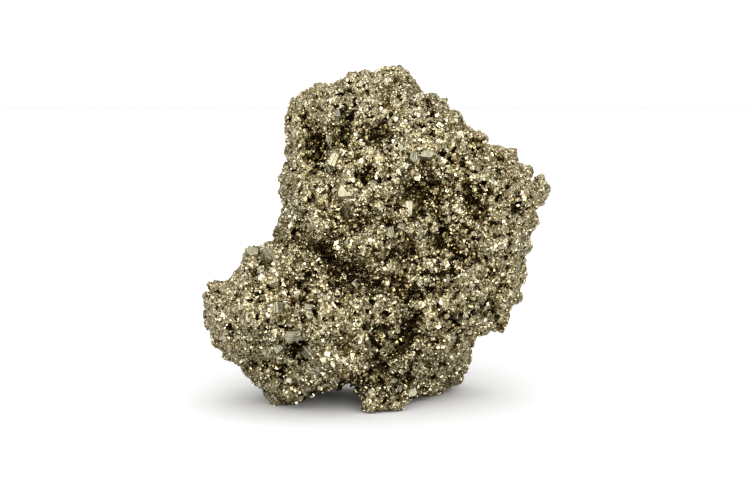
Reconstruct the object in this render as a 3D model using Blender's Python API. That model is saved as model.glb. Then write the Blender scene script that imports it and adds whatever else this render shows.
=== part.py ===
"""Pyrite specimen: one lump of pyrite crystals that grew together, about 70 mm wide, standing on its own feet.

The lump is shaped as a sculptor would shape it: a rounded body from the front outline, lobes and scars all round,
hollows and ridges pressed into both faces, and then a few hundred pyrite crystals sunk into the surface and fused
to it. Its feet are cut flat in one plane, on which it stands. X runs to the right, Y away from the viewer and Z up.
Sizes are in millimetres, and become metres in the last step.

The body is laid out as it is seen from a little above: across is X, up is square to the line of sight, and along
runs away from the viewer. It is tipped into place once its forms are pressed.
"""

import math
import random

import bmesh
import bpy
from mathutils import Euler, Matrix, Vector, noise
from mathutils.bvhtree import BVHTree

MM = 0.001
NAME = "pyrite_specimen"

# --- Body, in mm ---
FRONT_DEPTH = 17.0  # from the widest section to the front face
BACK_DEPTH = 17.0  # from the widest section to the back face
SECTION_POWER = 2.6  # 2 gives an oval section from the side, and more gives a squarer one
CRYSTAL_PROUD = 0.9  # how far the crystals stand out of the body, which is that much smaller than the outline
RING_POINTS, RING_COUNT = 180, 40
BODY_VOXEL = 1.0
BODY_TRIANGLES = 2500  # of the body before the crystals are fused to it
FUSED_TRIANGLES = 9500  # of both together
SWELLS = [(12.0, 1.6), (5.2, 1.1), (2.9, 0.5)]  # wavelength and height of the unevenness of the surface

# The height above the horizon from which the front is looked at.
SIGHT = math.radians(8.0)

# The outline as seen, clockwise from the tip of the left lobe: across and up.
OUTLINE = [
    (-37.4, 19.4), (-37.2, 22.2), (-35.6, 24.4), (-33.0, 24.4), (-29.6, 24.8), (-27.4, 27.6), (-25.8, 30.6),
    (-24.0, 31.4), (-22.2, 31.0), (-20.9, 34.4), (-19.2, 38.0), (-20.4, 42.6), (-19.4, 48.6), (-19.0, 54.4),
    (-19.2, 60.2), (-17.4, 63.0), (-14.8, 64.0), (-12.4, 63.8), (-9.4, 63.8), (-6.4, 64.8), (-3.0, 65.8),
    (0.8, 67.4), (4.0, 68.0), (6.8, 67.8), (7.6, 65.8), (6.8, 62.6), (10.4, 61.8), (13.4, 60.8), (14.4, 58.0),
    (17.4, 55.6), (20.6, 52.4), (25.0, 52.0), (27.8, 47.6), (31.0, 44.6), (36.0, 43.0), (34.6, 39.8),
    (30.4, 38.4), (29.2, 35.4), (29.6, 30.0), (28.6, 23.8), (27.2, 17.6), (24.6, 14.6), (22.4, 13.4),
    (18.8, 13.2), (18.6, 10.2), (17.2, 8.2), (17.2, 5.4), (15.4, 2.8), (9.6, 1.4), (6.0, 0.8), (4.0, -0.4),
    (0.0, -0.4), (-3.4, 0.6), (-5.2, 2.4), (-8.6, 4.4), (-12.0, 4.2), (-15.2, 2.6), (-18.6, 0.4),
    (-22.4, 0.2), (-24.8, 4.0), (-28.6, 6.4), (-31.8, 9.8), (-34.4, 12.0), (-36.0, 15.6),
]
CENTRE = (-1.2, 25.7)

# Where the widest section lies nearer the front (negative) or the back: across, up, radius and distance along.
SECTION_SHIFTS = [
    (-25.0, 17.0, 15.0, -3.0),
    (-20.0, 0.0, 8.0, -2.0),
    (1.0, -1.0, 9.0, -9.0),
    (15.0, 4.0, 10.0, 11.0),
    (-4.0, 62.0, 20.0, -4.0),
    (33.0, 42.0, 14.0, -1.0),
    (-19.0, 46.0, 12.0, -1.0),
]

# Lobes and scars all round: across, along, up, radius, and how far the surface swells (negative is scooped in).
LOBES = [
    (18.0, 20.0, 40.0, 13.0, 3.5),
    (28.0, 12.0, 22.0, 10.0, -3.0),
    (8.0, 16.0, 58.0, 11.0, -3.5),
    (-10.0, 20.0, 50.0, 11.0, 3.0),
    (-22.0, 12.0, 34.0, 10.0, -3.5),
    (-23.0, 17.0, 16.0, 11.0, 2.5),
    (2.0, 20.0, 34.0, 12.0, -3.0),
    (12.0, 22.0, 18.0, 12.0, 3.0),
    (-4.0, 21.0, 12.0, 9.0, -3.0),
    (-20.0, -12.0, 58.0, 8.0, -2.4),
    (26.0, -12.0, 50.0, 9.0, -2.6),
    (28.0, -12.0, 16.0, 8.0, -2.0),
    (0.0, -13.0, 62.0, 8.0, -1.6),
]

PRESS_SPREAD = 1.4  # a form fades out at this many times its radius
FULL_PRESS = 0.5  # a surface turned to the viewer by less than this is pressed less

# Hollows and ridges of the front: start and end as across and up, radius, and depth (negative stands proud).
FRONT_FORMS = [
    (-15.0, 32.6, -10.4, 30.4, 3.0, 6.0),  # shadow under the ledge that crosses the face
    (-11.4, 30.2, -6.0, 26.4, 3.6, 8.0),
    (-6.0, 26.2, -0.6, 25.0, 3.0, 6.5),
    (-12.0, 34.6, -7.0, 32.0, 2.6, -1.4),  # lip of that ledge
    (-6.2, 32.4, 1.0, 31.6, 3.6, -3.2),
    (-13.6, 55.0, -11.6, 48.6, 2.3, 5.0),  # clefts and pits of the upper block
    (-14.6, 57.4, -14.4, 56.6, 1.7, 2.6),
    (-2.2, 53.0, 0.4, 53.4, 1.9, 5.0),
    (-7.4, 57.0, -6.2, 52.4, 2.2, 2.6),
    (-3.0, 47.6, -1.8, 44.2, 2.1, 2.4),
    (-9.0, 45.0, -8.0, 42.0, 2.0, 1.6),
    (6.4, 43.4, 10.4, 42.4, 3.6, 4.6),
    (6.8, 41.0, 8.2, 37.0, 2.0, 3.0),
    (17.8, 42.2, 19.0, 37.8, 2.0, 4.6),
    (11.4, 32.8, 14.0, 32.0, 2.7, 4.2),
    (16.0, 29.8, 16.6, 29.0, 1.8, 3.4),
    (3.0, 37.6, 2.6, 36.4, 2.0, 2.4),
    (-6.0, 37.8, -3.0, 36.8, 1.8, 2.0),
    (3.0, 30.6, 5.0, 29.2, 2.3, 3.8),
    (4.0, 23.0, 7.6, 22.6, 1.8, 4.8),
    (-8.6, 23.4, -8.2, 22.6, 2.1, 2.6),  # dips of the lower mass
    (-16.6, 22.4, -15.8, 22.0, 2.0, 2.4),
    (-13.0, 19.4, -12.4, 17.2, 1.5, 1.8),
    (-29.6, 14.8, -29.2, 14.4, 1.6, 1.8),
    (-17.0, 11.6, -15.4, 8.6, 2.2, 5.0),
    (-24.6, 9.4, -20.0, 7.4, 2.6, 3.0),
    (-27.4, 7.4, -26.6, 7.0, 1.8, 1.6),
    (-8.0, 11.8, -7.2, 11.6, 1.6, 1.8),
    (3.6, 12.4, 6.2, 15.6, 2.6, 5.6),
    (-1.4, 7.0, 1.8, 10.4, 3.4, 4.8),
    (-4.6, 4.0, -1.6, 5.6, 2.6, 3.8),
    (5.0, 3.8, 6.0, 4.6, 1.8, 3.2),
    (15.0, 16.8, 15.6, 16.4, 1.8, 3.0),
    (21.6, 19.4, 22.6, 21.0, 2.2, 2.0),
    (23.0, 26.4, 24.4, 28.4, 2.4, 1.8),
    (26.8, 38.8, 29.8, 37.2, 1.6, 3.0),
    (5.8, 61.0, 7.0, 59.0, 1.8, 1.6),
    (15.8, 55.0, 17.2, 53.6, 2.0, 1.4),
    (13.2, 49.0, 13.6, 48.6, 1.3, 2.0),
    (4.8, 51.6, 6.0, 46.4, 2.6, -2.2),  # swellings that catch the light
    (-15.0, 37.0, -12.6, 35.0, 3.6, -2.0),
    (-24.0, 19.0, -12.0, 15.6, 8.0, -4.6),
    (-11.6, 7.6, -6.2, 8.0, 3.6, -2.4),
    (17.4, 25.4, 21.2, 33.0, 4.6, -1.8),
    (22.4, 48.0, 24.4, 46.0, 4.2, -1.6),
    (-4.0, 42.6, 4.0, 38.0, 6.0, -2.2),
    (12.4, 9.4, 14.0, 5.6, 4.0, -1.6),
]

# The same for the back, which is plainer.
BACK_FORMS = [
    (-24.0, 33.0, -2.0, 37.0, 4.6, 4.5),
    (-6.0, 54.0, 3.0, 50.0, 4.0, 4.6),
    (3.0, 15.0, 9.0, 18.0, 3.6, 5.2),
    (24.0, 27.0, 25.0, 22.0, 3.0, 3.8),
    (-10.0, 25.0, -6.0, 23.0, 3.0, 4.4),
    (16.0, 50.0, 20.0, 47.0, 3.0, 4.0),
    (-24.0, 13.0, -20.0, 9.0, 3.2, 4.0),
    (-12.0, 60.0, -8.0, 46.0, 4.0, -2.4),
    (8.0, 40.0, 20.0, 33.0, 6.0, -3.0),
    (-14.0, 17.0, -4.0, 12.0, 5.0, -2.6),
]

# Feet: the x and y that each stands on, and its radius. FOOT_CUT is how much of their ends the flat cut takes.
FEET = [(1.6, -9.5, 7.0), (-19.0, -2.0, 7.0), (13.0, 12.0, 8.0), (-12.0, 13.0, 9.0)]
FOOT_CUT = 1.1

# --- Crystals, in mm ---
SEED = 29
CRYSTAL_SPACING = 5.2
CRYSTAL_SIZES = (2.4, 4.4)
CRYSTAL_SUNK = 0.28  # how deep a crystal's centre lies, as a share of its size
SPOT_TRIES = 16000
HABITS = {"cube": 5, "pyritohedron": 3, "cuboctahedron": 2}  # how often each shape of crystal comes

# Crystals with broad clean faces that stand out on the front: across, up, size, shape, and turns in degrees.
BROAD_CRYSTALS = [
    (-8.8, 48.6, 3.2, "cube", (20, -30, 12)),
    (-6.6, 42.6, 3.2, "cube", (35, 15, 4)),
    (7.2, 49.6, 2.9, "cube", (15, 40, 25)),
    (9.9, 49.4, 2.9, "cube", (48, 8, 0)),
    (6.3, 38.8, 2.9, "cube", (10, 20, 8)),
    (5.2, 35.0, 2.9, "cube", (40, 20, 30)),
    (3.0, 33.4, 2.6, "cube", (38, -20, -35)),
    (-5.8, 39.2, 2.6, "cube", (10, 8, -28)),
    (-4.5, 23.7, 2.4, "cuboctahedron", (20, 20, 20)),
    (2.0, 13.2, 2.8, "cuboctahedron", (10, 30, 10)),
    (8.2, 23.9, 2.6, "cube", (30, -25, 40)),
    (15.8, 17.0, 2.6, "cube", (20, 35, 5)),
    (17.6, 17.2, 2.6, "cube", (15, -20, 10)),
    (22.2, 13.8, 2.2, "cube", (45, 30, 0)),
    (-21.8, 29.6, 3.2, "cube", (25, -25, 30)),
    (-25.2, 29.8, 3.2, "cuboctahedron", (35, 10, 10)),
    (-21.8, 23.9, 3.2, "cube", (62, 5, 4)),
    (-20.4, 18.8, 2.8, "cuboctahedron", (10, 40, 0)),
    (-14.0, 18.6, 2.6, "cube", (35, 20, -5)),
    (-20.2, 10.7, 2.9, "cube", (15, -35, 45)),
    (-13.8, 10.1, 2.8, "cube", (10, 35, 30)),
    (-17.2, 14.2, 3.2, "cube", (60, -10, 15)),
    (6.6, 1.9, 3.4, "cube", (8, 38, 10)),
]


def outline_radius(angle):
    """Distance from CENTRE to the body's edge in that direction."""
    polar = []
    for x, z in OUTLINE:
        across, up = x - CENTRE[0], z - CENTRE[1]
        polar.append((math.atan2(up, across) % math.tau, math.hypot(across, up)))
    polar.sort()
    before = (polar[-1][0] - math.tau, polar[-1][1])
    after = (polar[0][0] + math.tau, polar[0][1])
    ring = [before, *polar, after]
    for (start, near), (end, far) in zip(ring, ring[1:]):
        if start <= angle <= end:
            return near + (far - near) * (angle - start) / (end - start) - CRYSTAL_PROUD
    return polar[0][1] - CRYSTAL_PROUD


def section_shift(x, z):
    """How far along Y the widest section lies at this place on the outline."""
    return sum(
        reach * math.exp(-((x - cx) ** 2 + (z - cz) ** 2) / radius**2)
        for cx, cz, radius, reach in SECTION_SHIFTS
    )


def rounded_body():
    """A closed pillow whose widest section is the outline, and whose faces bulge to the front and the back."""
    radii = [outline_radius(math.tau * i / RING_POINTS) for i in range(RING_POINTS)]
    reach = RING_POINTS // 12
    soft = [
        sum(radii[(i + k) % RING_POINTS] for k in range(-reach, reach + 1)) / (2 * reach + 1)
        for i in range(RING_POINTS)
    ]
    power = 2.0 / SECTION_POWER
    bm = bmesh.new()
    rings = []
    for j in range(1, RING_COUNT):
        turn = math.pi * (j / RING_COUNT - 0.5)
        width = math.cos(turn) ** power
        depth = BACK_DEPTH if turn > 0 else FRONT_DEPTH
        level = math.copysign(abs(math.sin(turn)) ** power, turn) * depth
        softness = math.sin(turn) ** 2
        ring = []
        for i in range(RING_POINTS):
            angle = math.tau * i / RING_POINTS
            radius = (radii[i] * (1 - softness) + soft[i] * softness) * width
            x = CENTRE[0] + radius * math.cos(angle)
            z = CENTRE[1] + radius * math.sin(angle)
            ring.append(bm.verts.new((x, level + section_shift(x, z), z)))
        rings.append(ring)
    for low, high in zip(rings, rings[1:]):
        for i in range(RING_POINTS):
            k = (i + 1) % RING_POINTS
            bm.faces.new((low[i], high[i], high[k], low[k]))
    bm.faces.new(rings[0])
    bm.faces.new(reversed(rings[-1]))
    bmesh.ops.recalc_face_normals(bm, faces=bm.faces)
    mesh = bpy.data.meshes.new("body")
    bm.to_mesh(mesh)
    bm.free()
    return mesh


def evaluated(obj):
    """A new mesh that holds the object as its modifiers leave it."""
    bpy.context.view_layer.update()
    graph = bpy.context.evaluated_depsgraph_get()
    return bpy.data.meshes.new_from_object(obj.evaluated_get(graph))


def even_cells(mesh):
    """The mesh rebuilt from cells of one size, so that it can be pressed and swollen evenly."""
    obj = bpy.data.objects.new("even_cells", mesh)
    bpy.context.scene.collection.objects.link(obj)
    remesh = obj.modifiers.new("cells", "REMESH")
    remesh.mode = "VOXEL"
    remesh.voxel_size = BODY_VOXEL
    made = evaluated(obj)
    bpy.data.objects.remove(obj)
    return made


def swell_lobes(mesh):
    """Swells or scoops the surface round each lobe's centre, along the surface's own normals."""
    normals = [vertex.normal.copy() for vertex in mesh.vertices]
    for vertex, normal in zip(mesh.vertices, normals):
        here = vertex.co.copy()
        for x, y, z, radius, reach in LOBES:
            away = (here - Vector((x, y, z))).length / radius
            if away < 1.0:
                vertex.co += normal * reach * (1 - away * away) ** 2
    mesh.update()


def distance_to_run(across, up, form):
    """Distance from a point to the straight run between a form's two ends."""
    start, end = Vector(form[0:2]), Vector(form[2:4])
    run, point = end - start, Vector((across, up)) - start
    share = 0.0 if run.length_squared == 0 else max(0.0, min(1.0, point.dot(run) / run.length_squared))
    return (point - run * share).length


def press(mesh, forms, facing):
    """Presses each form into the face that looks along facing, -1 for the front and 1 for the back."""
    for vertex in mesh.vertices:
        openness = vertex.normal.y * facing
        if openness <= 0.0:
            continue
        strength = min(1.0, openness / FULL_PRESS)
        for form in forms:
            away = distance_to_run(vertex.co.x, vertex.co.z, form) / (PRESS_SPREAD * form[4])
            if away < 1.0:
                vertex.co.y -= facing * form[5] * (1 - away * away) ** 2 * strength
    mesh.update()


def swell(mesh, wavelength, height):
    """Moves each vertex along its normal by smooth noise."""
    normals = [vertex.normal.copy() for vertex in mesh.vertices]
    for vertex, normal in zip(mesh.vertices, normals):
        vertex.co += normal * height * noise.noise(vertex.co / wavelength)
    mesh.update()


def lower_feet(mesh):
    """Draws the underside down to the ground at each foot."""
    for x, y, radius in FEET:
        near = [
            (vertex, (vertex.co.xy - Vector((x, y))).length / radius)
            for vertex in mesh.vertices
            if vertex.normal.z < 0.15
        ]
        near = [(vertex, away) for vertex, away in near if away < 1.0 and vertex.co.z < 2 * radius]
        lowest = min(vertex.co.z for vertex, away in near if away < 0.45)
        for vertex, away in near:
            fade = max(0.0, 1 - vertex.co.z / (2 * radius))
            vertex.co.z -= (lowest + FOOT_CUT) * (1 - away * away) ** 2 * min(1.0, fade * 1.4)
        mesh.update()


def surface_spots(mesh, rng):
    """Points spread over the surface, no nearer to each other than CRYSTAL_SPACING, with the normal at each."""
    mesh.calc_loop_triangles()
    triangles = [[mesh.vertices[i].co for i in t.vertices] for t in mesh.loop_triangles]
    normals = [t.normal.copy() for t in mesh.loop_triangles]
    areas = [t.area for t in mesh.loop_triangles]
    spots = []
    for index in rng.choices(range(len(triangles)), weights=areas, k=SPOT_TRIES):
        a, b = rng.random(), rng.random()
        if a + b > 1:
            a, b = 1 - a, 1 - b
        corner, second, third = triangles[index]
        spot = corner + (second - corner) * a + (third - corner) * b
        if all((spot - other).length > CRYSTAL_SPACING for other, _ in spots):
            spots.append((spot, normals[index]))
    return spots


def crystal_corners(habit):
    """Corners of a crystal about 1 across: a cube, pyrite's own twelve-sided pyritohedron, or a cuboctahedron."""
    signs = (-1, 1)
    cube = [Vector((x, y, z)) for x in signs for y in signs for z in signs]
    if habit == "cube":
        return [corner * 0.46 for corner in cube]
    if habit == "cuboctahedron":
        edges = [(a, b, 0) for a in signs for b in signs]
        return [Vector(edge[k:] + edge[:k]) * 0.6 for edge in edges for k in range(3)]
    rise = 0.5
    roofs = [(0, a * (1 + rise), b * (1 - rise * rise)) for a in signs for b in signs]
    return [corner * 0.42 for corner in cube] + [Vector(r[k:] + r[:k]) * 0.42 for r in roofs for k in range(3)]


def crystal_mesh(habit):
    """A closed crystal with flat faces."""
    bm = bmesh.new()
    for corner in crystal_corners(habit):
        bm.verts.new(corner)
    bmesh.ops.convex_hull(bm, input=bm.verts)
    bmesh.ops.dissolve_limit(bm, angle_limit=math.radians(1), verts=bm.verts, edges=bm.edges)
    bmesh.ops.recalc_face_normals(bm, faces=bm.faces)
    mesh = bpy.data.meshes.new(habit)
    bm.to_mesh(mesh)
    bm.free()
    return mesh


def placed(mesh, centre, size, turns):
    """A crystal object of that size, standing ready for the Boolean that fuses it to the body."""
    crystal = bpy.data.objects.new("crystal", mesh)
    crystal.matrix_world = (
        Matrix.Translation(centre) @ Euler(turns).to_matrix().to_4x4() @ Matrix.Scale(size, 4)
    )
    crystal.hide_render = True
    crystal.display_type = "WIRE"
    return crystal


def broad_crystals(body, meshes):
    """The crystals with broad faces, each set where its line of sight meets the front of the body."""
    tree = BVHTree.FromPolygons(
        [vertex.co for vertex in body.vertices], [polygon.vertices for polygon in body.polygons]
    )
    sight = Vector((0, math.cos(SIGHT), -math.sin(SIGHT)))
    up_in_view = Vector((0, math.sin(SIGHT), math.cos(SIGHT)))
    crystals = []
    for across, up, size, habit, degrees in BROAD_CRYSTALS:
        eye = Vector((across, 0, 0)) + up_in_view * up - sight * 100
        spot, normal, _, _ = tree.ray_cast(eye, sight)
        if spot is None:
            spot, normal, _, _ = tree.find_nearest(eye + sight * 100)
        centre = spot - normal * size * 0.1
        crystals.append(placed(meshes[habit], centre, size, [math.radians(d) for d in degrees]))
    return crystals


def scattered_crystals(spots, broad, meshes, rng):
    """A crystal at each spot that no broad crystal has taken, turned at random."""
    crystals = []
    for spot, normal in spots:
        habit = rng.choices(list(HABITS), weights=list(HABITS.values()))[0]
        size = rng.uniform(*CRYSTAL_SIZES)
        turns = [rng.uniform(0, math.tau) for _ in range(3)]
        if any((spot - other.matrix_world.translation).length < CRYSTAL_SPACING * 0.55 for other in broad):
            continue
        crystals.append(placed(meshes[habit], spot - normal * size * CRYSTAL_SUNK, size, turns))
    return crystals


def thinned(mesh, triangles):
    """The mesh with only the triangles that its shape needs most."""
    mesh.calc_loop_triangles()
    obj = bpy.data.objects.new("thinned", mesh)
    bpy.context.scene.collection.objects.link(obj)
    obj.modifiers.new("triangles", "TRIANGULATE")
    fewer = obj.modifiers.new("fewer", "DECIMATE")
    fewer.ratio = min(1.0, triangles / len(mesh.loop_triangles))
    made = evaluated(obj)
    bpy.data.objects.remove(obj)
    return made


def drop_crumbs(bm):
    """Leaves only the largest of the pieces that the mesh is in."""
    left = set(bm.verts)
    pieces = []
    while left:
        piece = {left.pop()}
        edge = list(piece)
        while edge:
            near = {link.other_vert(vertex) for vertex in edge for link in vertex.link_edges}
            edge = near - piece
            piece |= edge
        left -= piece
        pieces.append(piece)
    pieces.sort(key=len)
    for piece in pieces[:-1]:
        bmesh.ops.delete(bm, geom=list(piece), context="VERTS")


def fused(body, crystals):
    """The body and its crystals as one closed mesh, cut flat under the feet."""
    obj = bpy.data.objects.new("fused", body)
    bpy.context.scene.collection.objects.link(obj)
    group = bpy.data.collections.new("crystals")
    bpy.context.scene.collection.children.link(group)
    for crystal in crystals:
        group.objects.link(crystal)
    union = obj.modifiers.new("crystals", "BOOLEAN")
    union.operation = "UNION"
    union.operand_type = "COLLECTION"
    union.collection = group
    bm = bmesh.new()
    bm.from_mesh(thinned(evaluated(obj), FUSED_TRIANGLES))
    everything = [*bm.verts, *bm.edges, *bm.faces]
    cut = bmesh.ops.bisect_plane(bm, geom=everything, plane_no=(0, 0, -1), clear_outer=True)
    rims = [piece for piece in cut["geom_cut"] if isinstance(piece, bmesh.types.BMEdge)]
    bmesh.ops.edgenet_fill(bm, edges=rims)
    drop_crumbs(bm)
    bmesh.ops.recalc_face_normals(bm, faces=bm.faces)
    mesh = bpy.data.meshes.new(NAME)
    bm.to_mesh(mesh)
    bm.free()
    bpy.data.objects.remove(obj)
    for crystal in crystals:
        bpy.data.objects.remove(crystal)
    bpy.data.collections.remove(group)
    return mesh


def pyrite():
    """Pale brassy metal."""
    material = bpy.data.materials.new("pyrite")
    material.use_nodes = True
    surface = material.node_tree.nodes["Principled BSDF"]
    surface.inputs["Base Color"].default_value = (0.50, 0.43, 0.25, 1.0)
    surface.inputs["Metallic"].default_value = 1.0
    surface.inputs["Roughness"].default_value = 0.32
    return material


def build():
    for obj in list(bpy.data.objects):
        bpy.data.objects.remove(obj)
    rng = random.Random(SEED)
    body = even_cells(rounded_body())
    swell_lobes(body)
    body = even_cells(body)
    press(body, FRONT_FORMS, -1)
    press(body, BACK_FORMS, 1)
    body.transform(Matrix.Rotation(-SIGHT, 4, "X"))
    lower_feet(body)
    body = even_cells(body)
    for wavelength, height in SWELLS:
        swell(body, wavelength, height)
    meshes = {habit: crystal_mesh(habit) for habit in HABITS}
    broad = broad_crystals(body, meshes)
    scattered = scattered_crystals(surface_spots(body, rng), broad, meshes, rng)
    mesh = fused(thinned(body, BODY_TRIANGLES), broad + scattered)
    across = [vertex.co.x for vertex in mesh.vertices]
    deep = [vertex.co.y for vertex in mesh.vertices]
    middle = Vector(((min(across) + max(across)) / 2, (min(deep) + max(deep)) / 2, 0))
    mesh.transform(Matrix.Scale(MM, 4) @ Matrix.Translation(-middle))
    mesh.materials.append(pyrite())
    bpy.context.scene.collection.objects.link(bpy.data.objects.new(NAME, mesh))


build()
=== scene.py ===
import math

import bmesh
import bpy
import numpy as np
from mathutils import Euler, Matrix, Vector, noise
from mathutils.bvhtree import BVHTree
from mathutils.kdtree import KDTree


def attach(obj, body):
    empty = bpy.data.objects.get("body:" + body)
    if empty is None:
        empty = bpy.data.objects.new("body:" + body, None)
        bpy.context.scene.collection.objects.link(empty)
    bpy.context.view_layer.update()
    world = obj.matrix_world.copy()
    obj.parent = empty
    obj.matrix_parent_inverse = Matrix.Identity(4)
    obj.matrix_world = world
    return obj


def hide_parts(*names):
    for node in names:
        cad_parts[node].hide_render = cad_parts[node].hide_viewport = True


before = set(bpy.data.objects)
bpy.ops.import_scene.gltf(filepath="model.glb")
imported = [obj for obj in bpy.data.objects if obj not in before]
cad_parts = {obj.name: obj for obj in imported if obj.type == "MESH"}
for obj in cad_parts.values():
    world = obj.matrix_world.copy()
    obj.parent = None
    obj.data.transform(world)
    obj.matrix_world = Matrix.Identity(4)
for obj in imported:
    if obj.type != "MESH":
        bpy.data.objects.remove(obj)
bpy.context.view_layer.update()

# --- Massive pyrite ---
# The lump under its crystals: pyrite so grown together that no crystal of it shows whole. It is the same metal as
# they are, but rough and browned by tarnish, and it shows only in the gaps and pits between them, where it is
# painted nearly black with shade.
MM = 0.001
NODE = "pyrite_specimen"
BODY_CELL = 0.46 * MM
BODY_EASE, BODY_EASE_STEPS = 0.5, 8
BODY_CLEARANCE = 0.15 * MM  # the lump stands on its crystals, so its own surface stays this far off the floor
KNOB_WIDTH, KNOB_HEIGHT = 2.6 * MM, 1.05 * MM
KNOB_FALL = 1.25  # how fast a knob falls away from its middle to the crease round it
CREASE_LEVEL = 0.6  # the height on a knob, from 0 to 1, below which a place counts as lying in a crease
GRAIN_WIDTH, GRAIN_HEIGHT = 0.9 * MM, 0.16 * MM
GAP_WIDTH, GAP_DEPTH = 1.2 * MM, 1.8 * MM
GAP_START, GAP_FULL = 0.42, 0.52  # the noise at which a gap starts, and where it is at its deepest
FINER_GAPS, FINER_SHARE = 2.3, 0.45  # how much finer the second noise of the gaps is, and how strong
CREASE_GAPS = 0.45  # how much likelier a gap is in the creases between knobs than on top of them
LOOSE_PATCH_WIDTH, LOOSE_PATCH_SHARE = 6 * MM, 0.5  # the broken patches behind, which aren't laid out
FADE_DEPTH = 4 * MM  # how far in front of the lump's middle the layout of the front fades out

# The front is laid out as it looks from one place in front of it, a little above the horizon.
SIGHT_DEGREES = 8.0
SIGHT = math.radians(SIGHT_DEGREES)
SIGHT_WAY = Vector((0, math.cos(SIGHT), -math.sin(SIGHT)))
UP_IN_SIGHT = Vector((0, math.sin(SIGHT), math.cos(SIGHT)))
ACROSS_IN_SIGHT = Vector((1, 0, 0))
AIM = Vector((-0.2 * MM, 0, 32.6 * MM))
EYE_DISTANCE = 567 * MM
EYE = AIM - SIGHT_WAY * EYE_DISTANCE
AIM_IN_LAYOUT = (-0.6, 32.4)  # the point aimed at, in the layout's own mm across and up

# Where the front is more broken by gaps, or less: across and up to the patch's middle, half its length and half its
# width in mm, how it slopes in degrees, and how much more of it is gap.
GAP_PATCHES = [
    (-13.2, 51.6, 4.4, 1.8, -75, 0.45), (-8.0, 52.6, 2.6, 2.4, 0, 0.25), (-6.6, 55.0, 4.2, 1.5, 75, 0.25),
    (-0.4, 52.4, 2.0, 1.6, 0, 0.50), (-2.2, 46.6, 2.6, 2.0, 60, 0.30), (-10.0, 37.4, 1.6, 1.4, 0, 0.10),
    (8.6, 40.2, 3.4, 1.2, 80, 0.30), (12.2, 44.0, 2.0, 2.2, 0, 0.15), (12.4, 40.6, 1.8, 1.6, 0, 0.25),
    (18.4, 41.4, 1.8, 1.5, -75, 0.45), (20.2, 37.4, 1.6, 1.4, -70, 0.15), (12.8, 31.0, 2.0, 1.8, 0, 0.10),
    (17.4, 32.2, 2.8, 2.0, 50, 0.55), (4.2, 29.6, 3.2, 1.8, 20, 0.50), (4.8, 23.2, 2.0, 1.8, 0, 0.90),
    (-16.0, 23.4, 2.6, 2.0, 0, 0.30), (-7.4, 22.4, 2.4, 1.6, 0, 0.30), (4.4, 14.0, 4.0, 2.2, 30, 0.55),
    (0.0, 12.6, 2.8, 1.6, 0, 0.50), (0.0, 7.4, 2.0, 1.6, 40, 0.40), (-6.6, 4.0, 3.0, 2.2, 10, 1.00),
    (4.8, 4.0, 3.2, 1.6, 55, 0.95), (-16.6, 11.2, 2.4, 1.8, -50, 0.35), (-21.6, 8.0, 3.6, 1.8, -40, 0.25),
    (-29.8, 14.6, 1.4, 1.2, 0, 0.45), (-24.6, 25.4, 1.8, 1.4, 0, 0.25), (28.4, 38.4, 2.6, 1.6, -30, 0.80),
    (15.4, 16.4, 2.2, 1.6, 0, 0.40), (11.4, 26.6, 1.8, 1.4, 0, 0.35), (-1.6, 36.8, 1.8, 1.4, 0, 0.25),
    (23.0, 18.8, 2.4, 1.8, 0, 0.30), (-21.4, 22.2, 2.6, 1.6, 0, 0.30), (-12.0, 30.8, 4.0, 2.0, -20, -1.00),
    (-6.4, 27.0, 3.6, 2.0, -35, -0.80), (5.2, 47.8, 2.0, 4.0, 0, -0.90), (-9.4, 7.2, 4.6, 2.2, 10, -0.90),
    (-7.2, 12.4, 2.2, 1.8, 0, -0.50), (9.2, 57.6, 1.8, 2.4, 0, -0.30), (-14.0, 35.2, 2.6, 1.6, 0, -0.40),
    (-6.6, 38.2, 2.0, 1.6, 0, -0.35), (-13.2, 14.6, 2.0, 1.6, 0, -0.35), (-5.4, 18.4, 2.0, 1.6, 0, -0.35),
    (14.4, 35.0, 1.6, 1.4, 0, -0.35),
]

# Where crystals have grown over the clefts in front, laid out in the same way: the last number is how far, in mm,
# they bring the surface forward.
CLEFT_FILLS = [
    (-11.6, 30.0, 4.5, 2.2, -20, 2.0), (-6.0, 26.8, 4.0, 2.4, -35, 2.4), (8.0, 22.8, 2.6, 1.4, -10, 1.4),
    (-9.0, 7.6, 4.4, 1.6, 12, 0.9),
]

# Where crystals have grown out past the lump's edge, as it looks from in front, or stayed back from it. The last
# two numbers are how far, in mm, the edge moves across and up.
EDGE_MOVES = [
    (9.6, 64.0, 2.6, 2.2, -40, -1.2, -1.2), (-2.6, 66.0, 4.4, 2.2, 12, 0.0, 1.0),
    (18.6, 55.4, 2.2, 2.0, -40, 0.4, 0.5), (29.6, 47.6, 3.0, 2.4, -35, 0.6, 1.3),
    (33.0, 44.6, 2.2, 2.4, -40, 0.3, 0.8), (31.2, 33.6, 2.6, 2.0, 90, 0.7, 0.0),
    (31.2, 26.2, 2.6, 2.2, 80, -1.2, 0.0), (27.6, 18.6, 2.8, 2.2, 75, 1.0, -0.2),
    (22.6, 12.8, 2.6, 1.8, 10, 0.0, 0.8), (19.6, 10.4, 2.0, 2.0, 90, 1.0, 0.0),
    (17.6, 4.2, 2.8, 2.6, 50, 1.7, -1.1), (-7.6, 3.4, 2.6, 2.2, 0, 0.0, -1.2),
    (-32.0, 25.6, 3.6, 2.4, 20, 0.4, -1.2), (-22.4, 32.8, 2.4, 2.0, 10, 0.3, -1.0),
    (-20.2, 35.6, 2.2, 2.0, 90, -1.0, 0.0), (-20.0, 43.4, 2.8, 2.0, 90, -0.7, 0.0),
    (-20.0, 56.4, 2.0, 2.0, 90, 1.1, 0.0), (-35.0, 14.8, 3.4, 2.0, -70, 0.7, 0.2),
    (-30.4, 8.0, 2.8, 2.0, -40, 0.4, 0.5), (-25.4, 4.0, 2.2, 2.0, -40, -0.4, -0.4),
    (25.6, 51.6, 1.8, 1.8, -40, -0.2, -0.5),
]

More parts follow.
